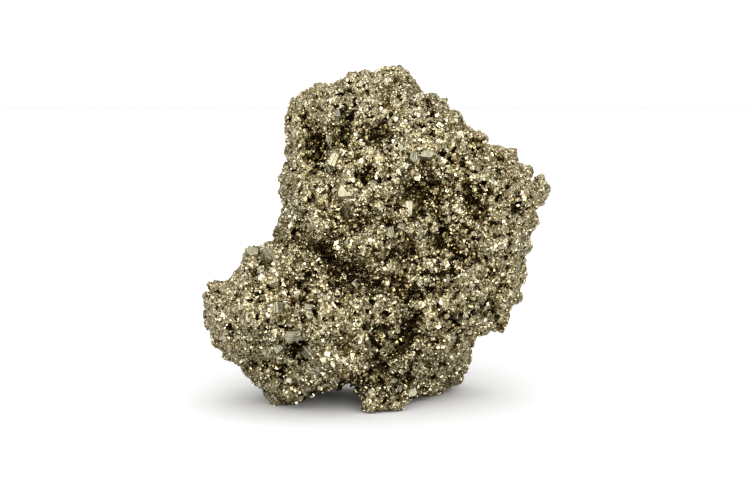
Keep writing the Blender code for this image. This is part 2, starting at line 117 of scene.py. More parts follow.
# The clearest single holes in front: across and up to the middle, half the length and half the width, and how it
# slopes.
HOLES = [
    (-25.2, 25.4, 1.2, 0.4, 10), (-23.8, 23.8, 0.4, 0.4, 0), (-14.4, 24.8, 0.9, 0.5, 75),
    (-18.9, 23.2, 0.9, 0.5, -55), (-17.6, 25.0, 0.4, 0.4, 0), (-28.4, 21.5, 0.8, 0.4, 10),
    (-32.2, 22.0, 0.4, 0.4, 0), (-29.4, 14.2, 0.9, 0.5, -40), (-24.4, 16.8, 0.6, 0.3, 80),
    (-12.6, 17.6, 1.1, 0.5, -75), (-16.0, 11.6, 1.3, 0.9, 0), (-8.8, 14.8, 0.4, 0.4, 0),
    (-20.6, 9.6, 0.8, 0.3, -20), (-19.2, 6.8, 0.9, 0.6, 15), (-25.2, 7.6, 0.9, 0.6, 0),
    (-14.8, 8.8, 0.9, 0.4, -60), (-13.0, 1.8, 0.6, 0.5, 30), (-15.2, 57.0, 0.6, 0.4, -30),
    (-14.0, 54.6, 0.6, 0.4, -45), (-13.6, 52.2, 1.2, 0.8, -60), (-11.6, 48.6, 1.4, 0.6, 15),
    (-12.4, 61.2, 0.4, 0.3, 0), (-7.2, 62.0, 0.5, 0.4, 0), (-5.2, 57.6, 1.2, 0.4, 85),
    (-6.0, 54.6, 0.8, 0.6, 40), (-1.6, 57.2, 0.7, 0.3, 5), (0.8, 55.8, 0.8, 0.4, 15),
    (-0.4, 52.6, 1.7, 1.0, 25), (-4.0, 49.2, 0.5, 0.4, 0), (-2.6, 44.2, 0.8, 0.5, -60),
    (4.2, 53.8, 0.6, 0.5, 0), (4.2, 61.6, 0.5, 0.4, 0), (6.4, 59.4, 0.6, 0.4, 0), (13.0, 49.8, 0.7, 0.6, 0),
    (17.0, 48.0, 0.6, 0.6, 0), (9.2, 55.4, 0.5, 0.4, 0), (8.2, 41.8, 1.2, 0.5, -75),
    (10.0, 41.2, 1.0, 0.6, 20), (8.8, 37.8, 1.0, 0.5, 80), (12.4, 44.2, 0.5, 0.3, 0),
    (18.4, 41.4, 1.7, 0.8, -75), (19.8, 37.0, 0.8, 0.6, 80), (26.2, 43.2, 0.6, 0.4, 80),
    (27.6, 44.4, 0.4, 0.4, 0), (27.8, 39.2, 1.2, 0.5, 80), (29.8, 37.0, 1.0, 0.6, 75),
    (6.8, 36.4, 0.7, 0.4, 0), (11.0, 33.4, 1.0, 0.4, -20), (12.8, 31.2, 1.2, 1.0, 0),
    (16.2, 29.4, 1.2, 0.6, 85), (19.6, 32.8, 0.8, 0.4, 0), (23.2, 35.6, 0.6, 0.6, 0),
    (26.6, 31.4, 0.5, 0.4, 0), (6.6, 30.2, 0.8, 0.4, 0), (3.4, 29.8, 1.0, 0.7, 70),
    (-0.8, 29.2, 0.8, 0.6, 70), (-9.2, 26.0, 1.0, 0.6, 10), (-7.0, 21.4, 0.7, 0.6, 0),
    (0.0, 23.6, 1.2, 0.6, -40), (3.8, 23.2, 1.2, 0.7, -10), (6.2, 22.0, 1.1, 0.6, -10),
    (12.6, 26.0, 0.9, 0.8, 60), (15.4, 25.4, 0.6, 0.5, 0), (23.0, 25.4, 1.0, 0.5, 75),
    (25.0, 23.2, 0.6, 0.5, 0), (19.4, 18.0, 0.7, 0.6, 0), (23.8, 17.0, 0.5, 0.5, 0),
    (22.2, 20.0, 0.6, 0.4, 0), (15.0, 16.8, 0.8, 0.7, 40), (1.6, 17.6, 1.0, 0.4, -20),
    (-2.6, 14.8, 0.7, 0.5, 80), (5.8, 15.4, 1.5, 1.0, -10), (3.2, 12.8, 0.9, 0.8, 30),
    (7.0, 13.6, 0.8, 0.6, 0), (-0.4, 11.8, 1.0, 0.7, 0), (8.0, 9.8, 0.6, 0.5, 0), (10.6, 7.0, 0.8, 0.5, 0),
    (6.0, 5.0, 1.0, 0.7, 60), (-4.8, 5.2, 1.0, 0.9, 0), (-3.2, 3.6, 1.1, 0.6, 80),
    (1.2, 14.8, 0.8, 0.4, -30), (12.4, 3.4, 0.6, 0.4, 0), (-1.2, 19.8, 0.5, 0.3, -20),
    (-4.8, 33.6, 0.6, 0.4, -30), (-17.0, 33.8, 0.4, 0.4, 0), (21.2, 43.8, 0.5, 0.4, 0),
    (-5.4, 3.0, 1.0, 0.4, 0), (12.0, 12.8, 0.7, 0.3, 10),
]
HOLE_WALL = 0.6  # how steep a hole's wall is, as the share of its width that the wall takes up
HOLE_RIM, HOLE_RAGGED = 1.15, 0.5  # how far past its oval a hole reaches, and how uneven its rim is
HOLE_MARGIN = 0.35  # how far, in mm, the middles of crystals keep clear of a hole's rim


def evaluated(obj):
    """A new mesh that holds the object as its modifiers leave it."""
    bpy.context.view_layer.update()
    graph = bpy.context.evaluated_depsgraph_get()
    return bpy.data.meshes.new_from_object(obj.evaluated_get(graph))


def read_vectors(data, name, count):
    """One property of every item of a mesh, as an array of rows of three."""
    flat = np.empty(count * 3, np.float32)
    data.foreach_get(name, flat)
    return flat.reshape(-1, 3).astype(float)


def knob_height(place):
    """Rounded knobs, from 0 in the creases between them to 1 on top."""
    distances, _ = noise.voronoi(Vector(place) / KNOB_WIDTH)
    return 1 - min(1.0, distances[0] * KNOB_FALL) ** 2


def crease_share(place):
    """How far a place lies down in a crease between knobs: less than 0 near the top of a knob."""
    return CREASE_LEVEL - knob_height(place)


def from_middle(places, middle, height, length, width, slope, wider=0.0):
    """The square of how far places lie from the middle of a sloping oval in front: 1 on its rim. The rim may be set
    wider by so many mm."""
    ways = places - np.array(EYE)
    scales = EYE_DISTANCE / MM / (ways @ np.array(SIGHT_WAY))
    across = ways @ np.array(ACROSS_IN_SIGHT) * scales + AIM_IN_LAYOUT[0] - middle
    up = ways @ np.array(UP_IN_SIGHT) * scales + AIM_IN_LAYOUT[1] - height
    along, over = math.cos(math.radians(slope)), math.sin(math.radians(slope))
    run, rise = across * along + up * over, up * along - across * over
    return (run / (length + wider)) ** 2 + (rise / (width + wider)) ** 2


def behind_share(places):
    """0 in front, where the layout holds, and 1 behind."""
    return np.clip(places[:, 1] / FADE_DEPTH + 1.0, 0, 1)


def patch_shares(places):
    """How much more broken by gaps the lump is near each place: as laid out in front, and loose patches behind."""
    behind = behind_share(places)
    loose = np.array([noise.noise(Vector(place) / LOOSE_PATCH_WIDTH) for place in places])
    shares = LOOSE_PATCH_SHARE * behind * loose
    for *oval, more in GAP_PATCHES:
        shares += (1 - behind) * more * np.exp(-from_middle(places, *oval))
    return shares


def gap_depths(places, hole_margin=0.0):
    """How far into a gap between the crystals each place lies: 0 outside and 1 at the bottom."""
    points = [Vector(place) for place in places]
    ragged = np.array([noise.noise(point / GAP_WIDTH) for point in points])
    finer = np.array([noise.noise(point / GAP_WIDTH * FINER_GAPS) for point in points])
    creases = np.array([crease_share(point) for point in points])
    open_noise = ragged + FINER_SHARE * finer + CREASE_GAPS * creases + patch_shares(places)
    gaps = np.clip((open_noise - GAP_START) / (GAP_FULL - GAP_START), 0, 1)
    for oval in HOLES:
        rim = HOLE_RIM + HOLE_RAGGED * finer - from_middle(places, *oval, wider=hole_margin)
        gaps = np.maximum(gaps, np.clip(rim / HOLE_WALL, 0, 1) * (1 - behind_share(places)))
    return gaps


def massive_body():
    """The lump eased to a smooth core, with knobs and grain raised on it and gaps sunk between them."""
    lump = bpy.data.objects.new("massive_pyrite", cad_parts[NODE].data.copy())
    bpy.context.scene.collection.objects.link(lump)
    cells = lump.modifiers.new("cells", "REMESH")
    cells.mode = "VOXEL"
    cells.voxel_size = BODY_CELL
    ease = lump.modifiers.new("ease", "SMOOTH")
    ease.factor = BODY_EASE
    ease.iterations = BODY_EASE_STEPS
    mesh = evaluated(lump)
    lump.modifiers.clear()
    lump.data = mesh
    count = len(mesh.vertices)
    places = read_vectors(mesh.vertices, "co", count)
    normals = read_vectors(mesh.vertex_normals, "vector", count)
    gaps = gap_depths(places)
    knobs = np.array([knob_height(place) - 0.5 for place in places])
    grain = np.array([noise.noise(Vector(place) / GRAIN_WIDTH) for place in places])
    heights = KNOB_HEIGHT * knobs - GAP_DEPTH * gaps + GRAIN_HEIGHT * grain
    places += normals * heights[:, None]
    for *oval, forward in CLEFT_FILLS:
        shares = (1 - behind_share(places)) * np.exp(-from_middle(places, *oval))
        places -= forward * MM * shares[:, None] * np.array(SIGHT_WAY)
    for *oval, aside, lift in EDGE_MOVES:
        shares = np.exp(-from_middle(places, *oval))[:, None] * MM
        places += shares * (aside * np.array(ACROSS_IN_SIGHT) + lift * np.array(UP_IN_SIGHT))
    places[:, 2] = np.maximum(places[:, 2], BODY_CLEARANCE)
    mesh.vertices.foreach_set("co", places.astype(np.float32).ravel())
    mesh.shade_flat()
    mesh.update()
    return lump, gaps


body, body_gaps = massive_body()
body_tree = BVHTree.FromPolygons(
    [vertex.co for vertex in body.data.vertices], [polygon.vertices for polygon in body.data.polygons]
)

# How much of the sky each part of the lump sees, from 0 at the bottom of a cleft to 1 on a knob. It is worked out
# at points spread over the lump, by rays that leave each one in a spiral.
OPEN_TRIES, OPEN_SPACING = 30000, 1.1 * MM
OPEN_RAYS, OPEN_REACH = 22, 9.0 * MM
OPEN_START = 0.5  # how far off the surface the rays begin, in mm
SPIRAL_TURN = 2.39996  # the golden angle, in radians
OPEN_NEIGHBOURS = 4
OPEN_SEED = 61


def surface_points(mesh, count, rng):
    """Random points all over a mesh, and the normal at each."""
    mesh.calc_loop_triangles()
    total = len(mesh.loop_triangles)
    corners = np.empty(total * 3, np.int32)
    mesh.loop_triangles.foreach_get("vertices", corners)
    places = read_vectors(mesh.vertices, "co", len(mesh.vertices))[corners.reshape(-1, 3)]
    cross = np.cross(places[:, 1] - places[:, 0], places[:, 2] - places[:, 0])
    areas = np.linalg.norm(cross, axis=1)
    picked = rng.choice(total, count, p=areas / areas.sum())
    first, second = rng.random(count), rng.random(count)
    over = first + second > 1
    first[over], second[over] = 1 - first[over], 1 - second[over]
    start = places[picked, 0]
    points = start + (places[picked, 1] - start) * first[:, None] + (places[picked, 2] - start) * second[:, None]
    return points, cross[picked] / areas[picked][:, None]


def spread(points, reaches):
    """Indices of the points that keep their own reach clear of those kept before them."""
    cell = float(reaches.max())
    grid = {}
    kept = []
    for index, ((x, y, z), reach) in enumerate(zip(points.tolist(), reaches.tolist())):
        a, b, c = math.floor(x / cell), math.floor(y / cell), math.floor(z / cell)
        near = [
            other
            for i in (a - 1, a, a + 1)
            for j in (b - 1, b, b + 1)
            for k in (c - 1, c, c + 1)
            for other in grid.get((i, j, k), ())
        ]
        if all((x - u) ** 2 + (y - v) ** 2 + (z - w) ** 2 >= max(reach, far) ** 2 for u, v, w, far in near):
            grid.setdefault((a, b, c), []).append((x, y, z, reach))
            kept.append(index)
    return kept


def clear_of(points, taken):
    """True for each point that no taken place, given as (point, reach), covers."""
    tree = KDTree(len(points))
    for index, point in enumerate(points.tolist()):
        tree.insert(point, index)
    tree.balance()
    free = np.ones(len(points), bool)
    for point, reach in taken:
        for _, index, _ in tree.find_range(point, reach):
            free[index] = False
    return free


def open_share(point, normal):
    """The share of rays leaving a point that meet nothing within OPEN_REACH."""
    side = normal.orthogonal().normalized()
    other = normal.cross(side)
    start = point + normal * OPEN_START * MM
    free = 0
    for ray in range(OPEN_RAYS):
        lift = math.sqrt((ray + 0.5) / OPEN_RAYS)
        turn = ray * SPIRAL_TURN
        across = math.sqrt(1 - lift * lift)
        way = normal * lift + side * (across * math.cos(turn)) + other * (across * math.sin(turn))
        if body_tree.ray_cast(start, way, OPEN_REACH)[0] is None:
            free += 1
    return free / OPEN_RAYS


def open_map():
    """A tree of points spread over the lump, and the share of the sky that each one sees."""
    points, normals = surface_points(body.data, OPEN_TRIES, np.random.default_rng(OPEN_SEED))
    kept = spread(points, np.full(len(points), OPEN_SPACING))
    tree = KDTree(len(kept))
    for place, index in enumerate(kept):
        tree.insert(points[index], place)
    tree.balance()
    return tree, [open_share(Vector(points[index]), Vector(normals[index])) for index in kept]


open_tree, open_values = open_map()


def openness(place):
    """How much of the sky is seen near a place, eased over its nearest neighbours."""
    near = open_tree.find_n(place, OPEN_NEIGHBOURS)
    return sum(open_values[index] for _, index, _ in near) / len(near)


def set_hollows(mesh, values):
    """Writes how much tarnish and painted shade each vertex takes, from how deep in a hollow it lies, for the
    materials to read.
    """
    hollow = mesh.attributes.new("hollow", "FLOAT", "POINT")
    hollow.data.foreach_set("value", np.asarray(values, np.float32))


# Painted shade on the lump: darker where it sees less sky, and nearly black at the bottom of its gaps and holes.
body_hollows = np.array([1 - openness(vertex.co) for vertex in body.data.vertices])
set_hollows(body.data, np.maximum(body_hollows, body_gaps))


def new_group(name, inputs, outputs):
    """An empty shader group: its tree, its input node and its output node."""
    group = bpy.data.node_groups.new(name, "ShaderNodeTree")
    for socket, kind, value in inputs:
        made = group.interface.new_socket(socket, in_out="INPUT", socket_type="NodeSocket" + kind)
        made.default_value = value
    for socket, kind in outputs:
        group.interface.new_socket(socket, in_out="OUTPUT", socket_type="NodeSocket" + kind)
    return group, group.nodes.new("NodeGroupInput"), group.nodes.new("NodeGroupOutput")


def feed(tree, socket, value):
    """Gives an input socket a link or a plain value."""
    if isinstance(value, bpy.types.NodeSocket):
        tree.links.new(value, socket)
    else:
        socket.default_value = value


def mixed_colour(tree, factor, first, second):
    """The colour that goes from the first to the second as factor goes from 0 to 1."""
    mix = tree.nodes.new("ShaderNodeMix")
    mix.data_type = "RGBA"
    for socket, value in ((mix.inputs["Factor"], factor), (mix.inputs[6], first), (mix.inputs[7], second)):
        feed(tree, socket, value)
    return mix.outputs[2]


def calculated(tree, operation, *values, clamp=False):
    """The result of one sum on numbers."""
    node = tree.nodes.new("ShaderNodeMath")
    node.operation = operation
    node.use_clamp = clamp
    for socket, value in zip(node.inputs, values):
        feed(tree, socket, value)
    return node.outputs["Value"]


def moved(tree, vector, way, amount):
    """A vector with another one, times an amount in each direction, added to it."""
    node = tree.nodes.new("ShaderNodeVectorMath")
    node.operation = "MULTIPLY_ADD"
    for socket, value in zip(node.inputs, (way, amount, vector)):
        feed(tree, socket, value)
    return node.outputs["Vector"]


def between(tree, first, second):
    """The vector that goes from the second point to the first."""
    node = tree.nodes.new("ShaderNodeVectorMath")
    node.operation = "SUBTRACT"
    feed(tree, node.inputs[0], first)
    feed(tree, node.inputs[1], second)
    return node.outputs["Vector"]


def cloud(tree, place, waves):
    """Soft noise from 0 to 1, with so many waves to the metre."""
    node = tree.nodes.new("ShaderNodeTexNoise")
    node.inputs["Scale"].default_value = waves
    node.inputs["Detail"].default_value = 3.0
    tree.links.new(place, node.inputs["Vector"])
    return node.outputs["Fac"]


# How the metal varies. Patches and spots are so many to the metre, and a contrast and an offset are what a number
# from 0 to 1 is multiplied by and then moved by.
METAL_PATCHES, PATCH_CONTRAST, PATCH_OFFSET = 90, 2.4, -0.7
TARNISH_SPOTS, SPOT_CONTRAST, SPOT_OFFSET = 260, 0.5, -0.25
# How the hollow value and the spots turn into the share of tarnish and painted shade.
TARNISH_SHADE_CONTRAST, TARNISH_SHADE_OFFSET = 1.3, -0.48
TARNISH_SHADE_MOST = 0.8  # how far the metal goes towards the colour of tarnish and painted shade at most
TARNISH_SHADE_ROUGHENS = 0.5
DARKEST_OWN, OWN_RANGE = 0.72, 0.45  # how bright the darkest crystal is, and how much brighter the others get


def pyrite_tint():
    """Group: pyrite's colour and roughness, clean where it is open and brown with tarnish and painted shade in the
    hollows.
    """
    group, given, put = new_group(
        "pyrite_tint",
        [
            ("Clean", "Color", (0.62, 0.56, 0.39, 1)),
            ("Cool", "Color", (0.50, 0.47, 0.36, 1)),
            ("Tarnish and shade", "Color", (0.235, 0.165, 0.034, 1)),
            ("Hollow", "Float", 0.0),
            ("Own", "Float", 0.5),
            ("Smooth", "Float", 0.12),
            ("Rough", "Float", 0.34),
        ],
        [("Color", "Color"), ("Roughness", "Float")],
    )
    place = group.nodes.new("ShaderNodeTexCoord").outputs["Object"]

    # The metal goes from its clean colour to the cooler one in patches of about a centimetre.
    patch = cloud(group, place, METAL_PATCHES)
    patch = calculated(group, "MULTIPLY_ADD", patch, PATCH_CONTRAST, PATCH_OFFSET, clamp=True)
    metal = mixed_colour(group, patch, given.outputs["Clean"], given.outputs["Cool"])

    # Own is a number from 0 to 1 that each crystal has to itself: it makes some a little darker than others.
    dimmed = calculated(group, "MULTIPLY_ADD", given.outputs["Own"], OWN_RANGE, DARKEST_OWN)
    shade = group.nodes.new("ShaderNodeVectorMath")
    shade.operation = "SCALE"
    group.links.new(metal, shade.inputs[0])
    group.links.new(dimmed, shade.inputs["Scale"])

    # Tarnish and painted shade come where the lump is hollow, more in some spots than in others.
    spot = calculated(group, "MULTIPLY_ADD", cloud(group, place, TARNISH_SPOTS), SPOT_CONTRAST, SPOT_OFFSET)
    tarnish_and_shade = calculated(group, "ADD", given.outputs["Hollow"], spot)
    tarnish_shade_share = calculated(group, "MULTIPLY_ADD", tarnish_and_shade, TARNISH_SHADE_CONTRAST, TARNISH_SHADE_OFFSET, clamp=True)
    tarnish_shade_share = calculated(group, "MULTIPLY", tarnish_shade_share, TARNISH_SHADE_MOST)
    group.links.new(mixed_colour(group, tarnish_shade_share, shade.outputs[0], given.outputs["Tarnish and shade"]), put.inputs["Color"])

    # Few crystals are rough when clean, and the share of tarnish and painted shade roughens all of them.
    own_roughness = calculated(group, "POWER", given.outputs["Own"], 2.0)
    roughened = calculated(group, "MULTIPLY_ADD", tarnish_shade_share, TARNISH_SHADE_ROUGHENS, own_roughness)
    range_of = calculated(group, "SUBTRACT", given.outputs["Rough"], given.outputs["Smooth"])
    rough = calculated(group, "MULTIPLY_ADD", roughened, range_of, given.outputs["Smooth"])
    group.links.new(rough, put.inputs["Roughness"])
    return group


GRAIN_BENDS, GRAIN_BEND = 3000, 0.5 * MM  # how many bends to the metre make the grains uneven, and by how much
HALF = (0.5, 0.5, 0.5)  # the middle of a random colour, taken off so that it points every way


def grain_normals():
    """Group: turns the surface every way in small grains, each a slightly domed facet of a crystal. Crack shade is
    1 in the thin cracks between grains, where painted shade goes, and 0 inside them."""
    group, given, put = new_group(
        "grain_normals",
        [("Grains", "Float", 2200.0), ("Tilt", "Float", 1.0), ("Dome", "Float", 0.8), ("Crack", "Float", 0.1)],
        [("Normal", "Vector"), ("Seam", "Float")],
    )
    place = group.nodes.new("ShaderNodeTexCoord").outputs["Object"]
    ragged = group.nodes.new("ShaderNodeTexNoise")
    ragged.inputs["Scale"].default_value = GRAIN_BENDS
    ragged.inputs["Detail"].default_value = 1.0
    group.links.new(place, ragged.inputs["Vector"])
    bent = moved(group, place, between(group, ragged.outputs["Color"], HALF), (GRAIN_BEND,) * 3)
    cells = group.nodes.new("ShaderNodeTexVoronoi")
    group.links.new(bent, cells.inputs["Vector"])
    group.links.new(given.outputs["Grains"], cells.inputs["Scale"])
    normal = group.nodes.new("ShaderNodeNewGeometry").outputs["Normal"]
    normal = moved(group, normal, between(group, cells.outputs["Color"], HALF), given.outputs["Tilt"])
    offset = between(group, bent, cells.outputs["Position"])
    rise = calculated(group, "MULTIPLY", given.outputs["Grains"], given.outputs["Dome"])
    normal = moved(group, normal, offset, rise)
    unit = group.nodes.new("ShaderNodeVectorMath")
    unit.operation = "NORMALIZE"
    group.links.new(normal, unit.inputs[0])
    group.links.new(unit.outputs["Vector"], put.inputs["Normal"])
    edges = group.nodes.new("ShaderNodeTexVoronoi")
    edges.feature = "DISTANCE_TO_EDGE"
    group.links.new(bent, edges.inputs["Vector"])
    group.links.new(given.outputs["Grains"], edges.inputs["Scale"])
    within = calculated(group, "DIVIDE", edges.outputs["Distance"], given.outputs["Crack"], clamp=True)
    group.links.new(calculated(group, "SUBTRACT", 1.0, within), put.inputs["Seam"])
    return group


def read_value(tree, name):
    """The number that the mesh holds under that name."""
    node = tree.nodes.new("ShaderNodeAttribute")
    node.attribute_name = name
    return node.outputs["Fac"]


GLANCING = (0.45, 0.42, 0.36, 1)  # dims what the metal mirrors where it is seen at a flat angle
# Painted shade for the thin cracks between grains.
CRACK_SHADE_COLOUR = (0.09, 0.062, 0.013, 1)
TINT = pyrite_tint()
GRAIN = grain_normals()


def pyrite_material(name, tint_values, grain_values):
    """A metal whose colour and roughness come from the pyrite_tint group, and its grain from grain_normals."""
    material = bpy.data.materials.new(name)
    material.use_nodes = True
    tree = material.node_tree
    surface = tree.nodes["Principled BSDF"]
    surface.inputs["Metallic"].default_value = 1.0
    surface.inputs["Specular Tint"].default_value = GLANCING
    tint = tree.nodes.new("ShaderNodeGroup")
    tint.node_tree = TINT
    for socket, value in tint_values.items():
        tint.inputs[socket].default_value = value
    tree.links.new(read_value(tree, "hollow"), tint.inputs["Hollow"])
    own = tree.nodes.new("ShaderNodeNewGeometry")
    tree.links.new(own.outputs["Random Per Island"], tint.inputs["Own"])
    tree.links.new(tint.outputs["Roughness"], surface.inputs["Roughness"])
    grain = tree.nodes.new("ShaderNodeGroup")
    grain.node_tree = GRAIN
    for socket, value in grain_values.items():
        grain.inputs[socket].default_value = value
    tree.links.new(grain.outputs["Normal"], surface.inputs["Normal"])
    # The thin cracks between grains are painted dark: painted shade.
    crack_shaded = mixed_colour(tree, grain.outputs["Seam"], tint.outputs["Color"], CRACK_SHADE_COLOUR)
    tree.links.new(crack_shaded, surface.inputs["Base Color"])
    return material


massive = pyrite_material(
    "massive_pyrite",
    {
        "Clean": (0.46, 0.40, 0.26, 1),
        # Nearly black: tarnish and the painted shade deep in the lump's gaps and holes.
        "Cool": (0.34, 0.31, 0.21, 1),
        "Tarnish and shade": (0.08, 0.047, 0.011, 1),
        "Smooth": 0.2,
        "Rough": 0.5,
    },
    {"Grains": 1900.0, "Tilt": 1.0, "Dome": 0.25, "Crack": 0.16},
)
body.data.materials.clear()
body.data.materials.append(massive)
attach(body, "root")
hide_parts(NODE)

# --- Broad crystals ---
# A few crystals outgrew the rest and show flat clean faces, many of them with the fine parallel lines that pyrite
# grows with. Each is a box whose one broad face is turned out of the lump, and it is rooted in the lump.

# Across, up, width and height of the face in mm, and how it is turned in degrees: aside, up, and in its own plane.
BROAD_CRYSTALS = [
    (-8.8, 48.6, 1.7, 2.6, -20, 10, -20),
    (-9.6, 46.8, 1.3, 1.6, 25, 30, 10),
    (-6.6, 42.2, 3.0, 2.4, 5, 25, 4),
    (-8.4, 57.8, 1.6, 1.6, -10, 35, 20),
    (-6.0, 57.8, 1.1, 1.1, -20, 35, 40),
    (7.2, 49.4, 1.8, 2.6, 25, 5, -15),
    (9.9, 49.6, 2.6, 1.4, 5, 22, -8),
    (6.3, 38.7, 1.7, 2.8, 6, 8, -4),
    (5.0, 35.0, 2.0, 1.5, 10, 38, -30),
    (6.4, 34.2, 1.8, 1.4, -15, 30, -35),
    (2.6, 33.8, 2.0, 2.4, -20, 25, 25),
    (-5.8, 39.2, 2.6, 1.2, 10, 48, 24),
    (-4.5, 23.7, 1.9, 1.5, 30, 20, 40),
    (2.0, 13.2, 1.6, 1.6, -25, 20, 45),
    (8.4, 23.8, 1.7, 1.4, 20, 20, 30),
    (15.8, 17.2, 1.2, 1.5, -35, 10, 5),
    (17.4, 17.2, 1.2, 1.4, 30, 15, 10),
    (22.2, 13.8, 1.5, 1.5, 35, 30, 0),
    (-21.8, 29.4, 2.4, 3.0, 20, 34, 20),
    (-25.2, 30.0, 2.6, 2.2, -30, 38, 20),
    (-21.8, 24.0, 3.4, 1.5, -8, 36, -8),
    (-20.4, 18.8, 1.4, 2.2, -35, 5, 15),
    (-14.0, 18.8, 1.7, 1.2, 10, 38, -4),
    (-13.9, 17.0, 1.5, 1.2, 10, 20, -4),
    (-20.2, 10.7, 1.9, 2.0, -20, 10, 45),
    (-13.8, 10.1, 1.6, 1.6, 30, 20, 30),
    (-17.2, 13.8, 3.0, 1.2, -5, 55, 15),
    (6.6, 1.9, 2.2, 2.2, 15, 10, 10),
    (4.4, 2.6, 1.4, 1.8, -20, 15, -20),
    (-3.0, 28.9, 1.5, 1.1, 20, 40, 30),
    (-27.6, 18.8, 1.6, 1.3, -15, 25, 15),
    (-26.0, 16.6, 1.5, 1.8, 15, 15, -10),
    (-27.2, 12.2, 1.6, 1.6, -10, 20, 30),
    (4.6, 50.8, 1.2, 1.4, 8, 6, 20),
    (5.6, 47.4, 1.3, 1.2, -8, 8, -30),
    (4.2, 46.0, 1.1, 1.5, 10, 4, 10),
    (6.2, 44.8, 1.2, 1.0, -10, 10, 40),
    (-11.0, 8.2, 1.4, 1.1, 8, 6, 20),
    (-9.0, 7.4, 1.2, 1.3, -8, 8, -20),
    (-6.8, 8.2, 1.4, 1.0, 10, 5, 35),
    (-5.0, 9.0, 1.1, 1.2, -10, 6, 0),
]
BROAD_DEPTH = 2.2 * MM
BROAD_PROUD = 0.4 * MM
BROAD_BEVEL = 0.05 * MM
BROAD_CUT = 0.56  # how far from the face's middle its cut corners lie, as a share of its width and height
BROAD_CUT_SPREAD = (0.8, 1.2)  # the least and the most that this share is multiplied by
BROAD_CUT_TURN = (1.6, 3.0)  # how far round the face, in radians, the second cut lies from the first
BROAD_CUT_LEAN = 0.2  # how far each cut leans back from the face, as a slope
BROAD_ROOM = 0.32  # how far round a broad crystal no other crystals grow, as a share of its width and height
BROAD_HOLLOW = 0.4  # how strongly hollows brown them with tarnish and painted shade: they are cleaner than the rest
BROAD_SEED = 53
LINES_TO_THE_METRE, LINE_HEIGHT = 3000.0, 0.1 * MM
LINE_CONTRAST, LINE_OFFSET = 3.0, -1.0


def box_crystal(width, height, depth, rng):
    """A box with slightly worn edges and two corners grown over, its broad face towards +Z."""
    bm = bmesh.new()
    bmesh.ops.create_cube(bm, size=1.0)
    bmesh.ops.scale(bm, vec=(width, height, depth), verts=bm.verts)
    first = rng.uniform(0, 2 * math.pi)
    for turn in (first, first + rng.uniform(*BROAD_CUT_TURN)):
        way = Vector((math.cos(turn), math.sin(turn), BROAD_CUT_LEAN))
        edge = Vector((way.x * width, way.y * height, 0)) * BROAD_CUT * rng.uniform(*BROAD_CUT_SPREAD)
        geometry = bm.verts[:] + bm.edges[:] + bm.faces[:]
        cut = bmesh.ops.bisect_plane(bm, geom=geometry, plane_co=edge, plane_no=way, clear_outer=True)
        rim = [item for item in cut["geom_cut"] if isinstance(item, bmesh.types.BMEdge)]
        bmesh.ops.edgenet_fill(bm, edges=rim)
    bmesh.ops.recalc_face_normals(bm, faces=bm.faces)
    bmesh.ops.bevel(bm, geom=bm.edges, offset=BROAD_BEVEL, segments=1, affect="EDGES")
    return bm


def across_lines(face):
    """How far each corner of a face lies across the growth lines that the face carries."""
    facing = max(range(3), key=lambda axis: abs(face.normal[axis]))
    return [vertex.co[(facing + 1) % 3] for vertex in face.verts]


def broad_crystals():
    """All the broad crystals as one mesh, each set where its line of sight meets the lump, and the places that they
    take."""
    every = bmesh.new()
    every.loops.layers.float.new("stripe")
    rng = np.random.default_rng(BROAD_SEED)
    taken = []
    for across, up, width, height, aside, lean, roll in BROAD_CRYSTALS:
        aside_way = ACROSS_IN_SIGHT * (across - AIM_IN_LAYOUT[0]) + UP_IN_SIGHT * (up - AIM_IN_LAYOUT[1])
        seen_way = SIGHT_WAY * EYE_DISTANCE + aside_way * MM
        spot = body_tree.ray_cast(EYE, seen_way)[0]
        if spot is None:
            spot = body_tree.find_nearest(EYE + seen_way)[0]
        turned = Euler((math.radians(90 - SIGHT_DEGREES - lean), 0, math.radians(aside)), "XYZ").to_matrix()
        turned = turned @ Matrix.Rotation(math.radians(roll), 3, "Z")
        crystal = box_crystal(width * MM, height * MM, BROAD_DEPTH, rng)
        stripe = crystal.loops.layers.float.new("stripe")
        for face in crystal.faces:
            for loop, place in zip(face.loops, across_lines(face)):
                loop[stripe] = place
        centre = spot + turned @ Vector((0, 0, BROAD_PROUD - BROAD_DEPTH / 2))
        crystal.transform(Matrix.Translation(centre) @ turned.to_4x4())
        part = bpy.data.meshes.new("crystal")
        crystal.to_mesh(part)
        crystal.free()
        every.from_mesh(part)
        bpy.data.meshes.remove(part)
        taken.append((tuple(spot), (width + height) * MM * BROAD_ROOM))
    mesh = bpy.data.meshes.new("broad_crystals")
    every.to_mesh(mesh)
    every.free()
    return mesh, taken


def growth_lines():
    """Group: the fine parallel ridges on a crystal's faces, as a height, from the place across them."""
    group, given, put = new_group(
        "growth_lines", [("Place", "Float", 0.0), ("Lines", "Float", LINES_TO_THE_METRE)], [("Height", "Float")]
    )
    lines = group.nodes.new("ShaderNodeTexNoise")
    lines.noise_dimensions = "1D"
    lines.inputs["Detail"].default_value = 2.0
    group.links.new(given.outputs["Place"], lines.inputs["W"])
    group.links.new(given.outputs["Lines"], lines.inputs["Scale"])
    sharper = calculated(group, "MULTIPLY_ADD", lines.outputs["Fac"], LINE_CONTRAST, LINE_OFFSET, clamp=True)
    group.links.new(sharper, put.inputs["Height"])
    return group


LINES = growth_lines()


